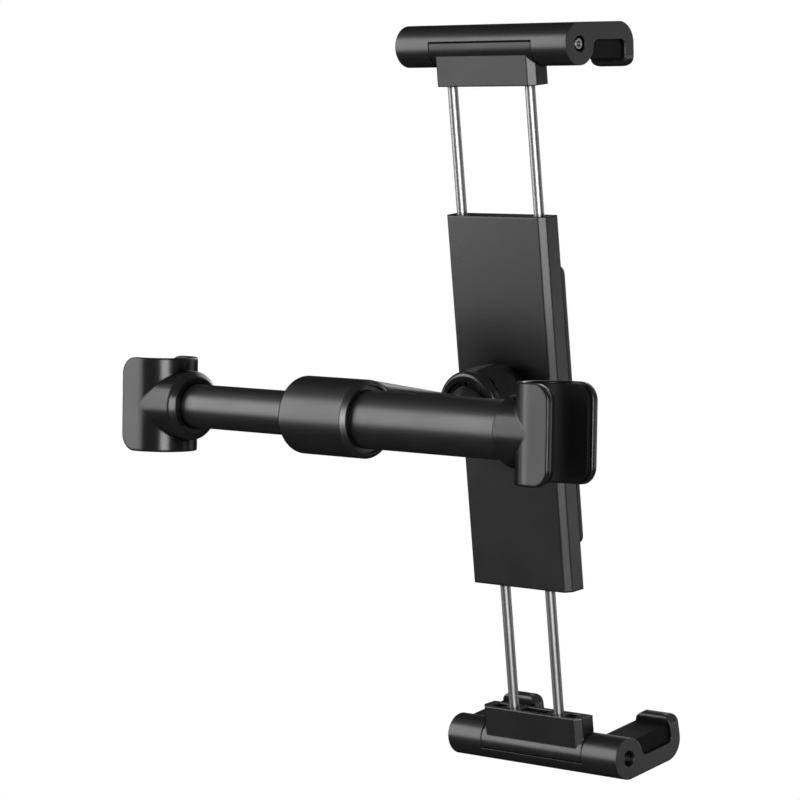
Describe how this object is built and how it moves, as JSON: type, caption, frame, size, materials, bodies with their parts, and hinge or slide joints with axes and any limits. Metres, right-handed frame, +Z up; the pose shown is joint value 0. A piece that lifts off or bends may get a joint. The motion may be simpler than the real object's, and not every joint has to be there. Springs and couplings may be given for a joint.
{
  "type": "headrest tablet mount",
  "caption": "Car headrest tablet mount: telescopic bar with post hooks, ball-jointed arm and a rod-extended holder with folding hooked jaws.",
  "frame": {"origin": "middle of the right post's seat, on the bar's axis", "axes": "+X along the bar from the left post to the right post, +Y from the seat towards the passenger who watches the tablet, +Z up along the posts"},
  "size_m": [0.175, 0.1298, 0.2323],
  "materials": {
    "black_plastic": "fine satin grain",
    "black_rubber": "soft matt rubber",
    "grey_acetal": "natural moulded",
    "chromed_steel": "polished",
    "black_tube": "satin powder coat",
    "black_screw": "black oxide",
    "spring_steel": "drawn wire"
  },
  "bodies": {
    "bar": {"outer_tube": "black_tube", "outer_tube_plug": "grey_acetal", "guide_sleeve": "grey_acetal", "right_hook": "black_plastic", "right_hook_liner": "black_rubber", "right_hook_screw": "black_screw", "bar_spring": "spring_steel"},
    "slider": {"inner_tube": "black_tube", "inner_tube_plug": "grey_acetal", "guide_bush": "grey_acetal", "left_hook": "black_plastic", "left_hook_liner": "black_rubber", "left_hook_screw": "black_screw"},
    "arm": {"sleeve_arm": "black_plastic", "sleeve_end_ring": "black_plastic", "ball_stud": "black_plastic"},
    "socket_pad": {"ball_pad": "black_rubber"},
    "nut": {"lock_nut": "black_plastic"},
    "holder": {"ball_socket": "black_plastic", "socket_screws": "black_screw", "back_cover": "black_plastic", "front_cover": "black_plastic", "cover_screws": "black_screw", "front_pad": "black_rubber"},
    "upper_slide": {"upper_left_rod": "chromed_steel", "upper_right_rod": "chromed_steel", "upper_carriage": "grey_acetal", "upper_block": "black_plastic", "upper_hinge_pin": "chromed_steel"},
    "lower_slide": {"lower_left_rod": "chromed_steel", "lower_right_rod": "chromed_steel", "lower_carriage": "grey_acetal", "lower_block": "black_plastic", "lower_hinge_pin": "chromed_steel"},
    "upper_clamp": {"upper_jaw": "black_plastic", "upper_left_jaw_pad": "black_rubber", "upper_right_jaw_pad": "black_rubber"},
    "lower_clamp": {"lower_jaw": "black_plastic", "lower_left_jaw_pad": "black_rubber", "lower_right_jaw_pad": "black_rubber"}
  },
  "joints": [
    {"name": "bar_length", "type": "slide", "parent": "bar", "child": "slider", "axis": [1, 0, 0], "range_m": [0, 0.036], "stiffness_N_per_m": 500, "springref_m": -0.02, "deforming": ["bar_spring"]},
    {"name": "arm_swing", "type": "hinge", "parent": "bar", "child": "arm", "pos_m": [-0.0842, 0, 0], "axis": [1, 0, 0], "range_deg": [-60, 60]},
    {"name": "ball_pitch", "type": "hinge", "parent": "arm", "child": "socket_pad", "pos_m": [-0.0842, 0.0582, 0], "axis": [1, 0, 0], "range_deg": [-22, 22]},
    {"name": "ball_yaw", "type": "hinge", "parent": "socket_pad", "child": "nut", "pos_m": [-0.0842, 0.0582, 0], "axis": [0, -0.1331, 0.9911], "range_deg": [-22, 22]},
    {"name": "ball_roll", "type": "hinge", "parent": "nut", "child": "holder", "pos_m": [-0.0842, 0.0582, 0], "axis": [0, 0.9911, 0.1331], "continuous": true},
    {"name": "upper_reach", "type": "slide", "parent": "holder", "child": "upper_slide", "axis": [0, -0.1331, 0.9911], "range_m": [-0.036, 0.012]},
    {"name": "lower_reach", "type": "slide", "parent": "holder", "child": "lower_slide", "axis": [0, 0.1331, -0.9911], "range_m": [-0.036, 0.012]},
    {"name": "upper_fold", "type": "hinge", "parent": "upper_slide", "child": "upper_clamp", "pos_m": [-0.0842, 0.0644, 0.11137], "axis": [1, 0, 0], "range_deg": [-90, 0]},
    {"name": "lower_fold", "type": "hinge", "parent": "lower_slide", "child": "lower_clamp", "pos_m": [-0.0842, 0.09371, -0.10687], "axis": [1, 0, 0], "range_deg": [0, 90]}
  ]
}
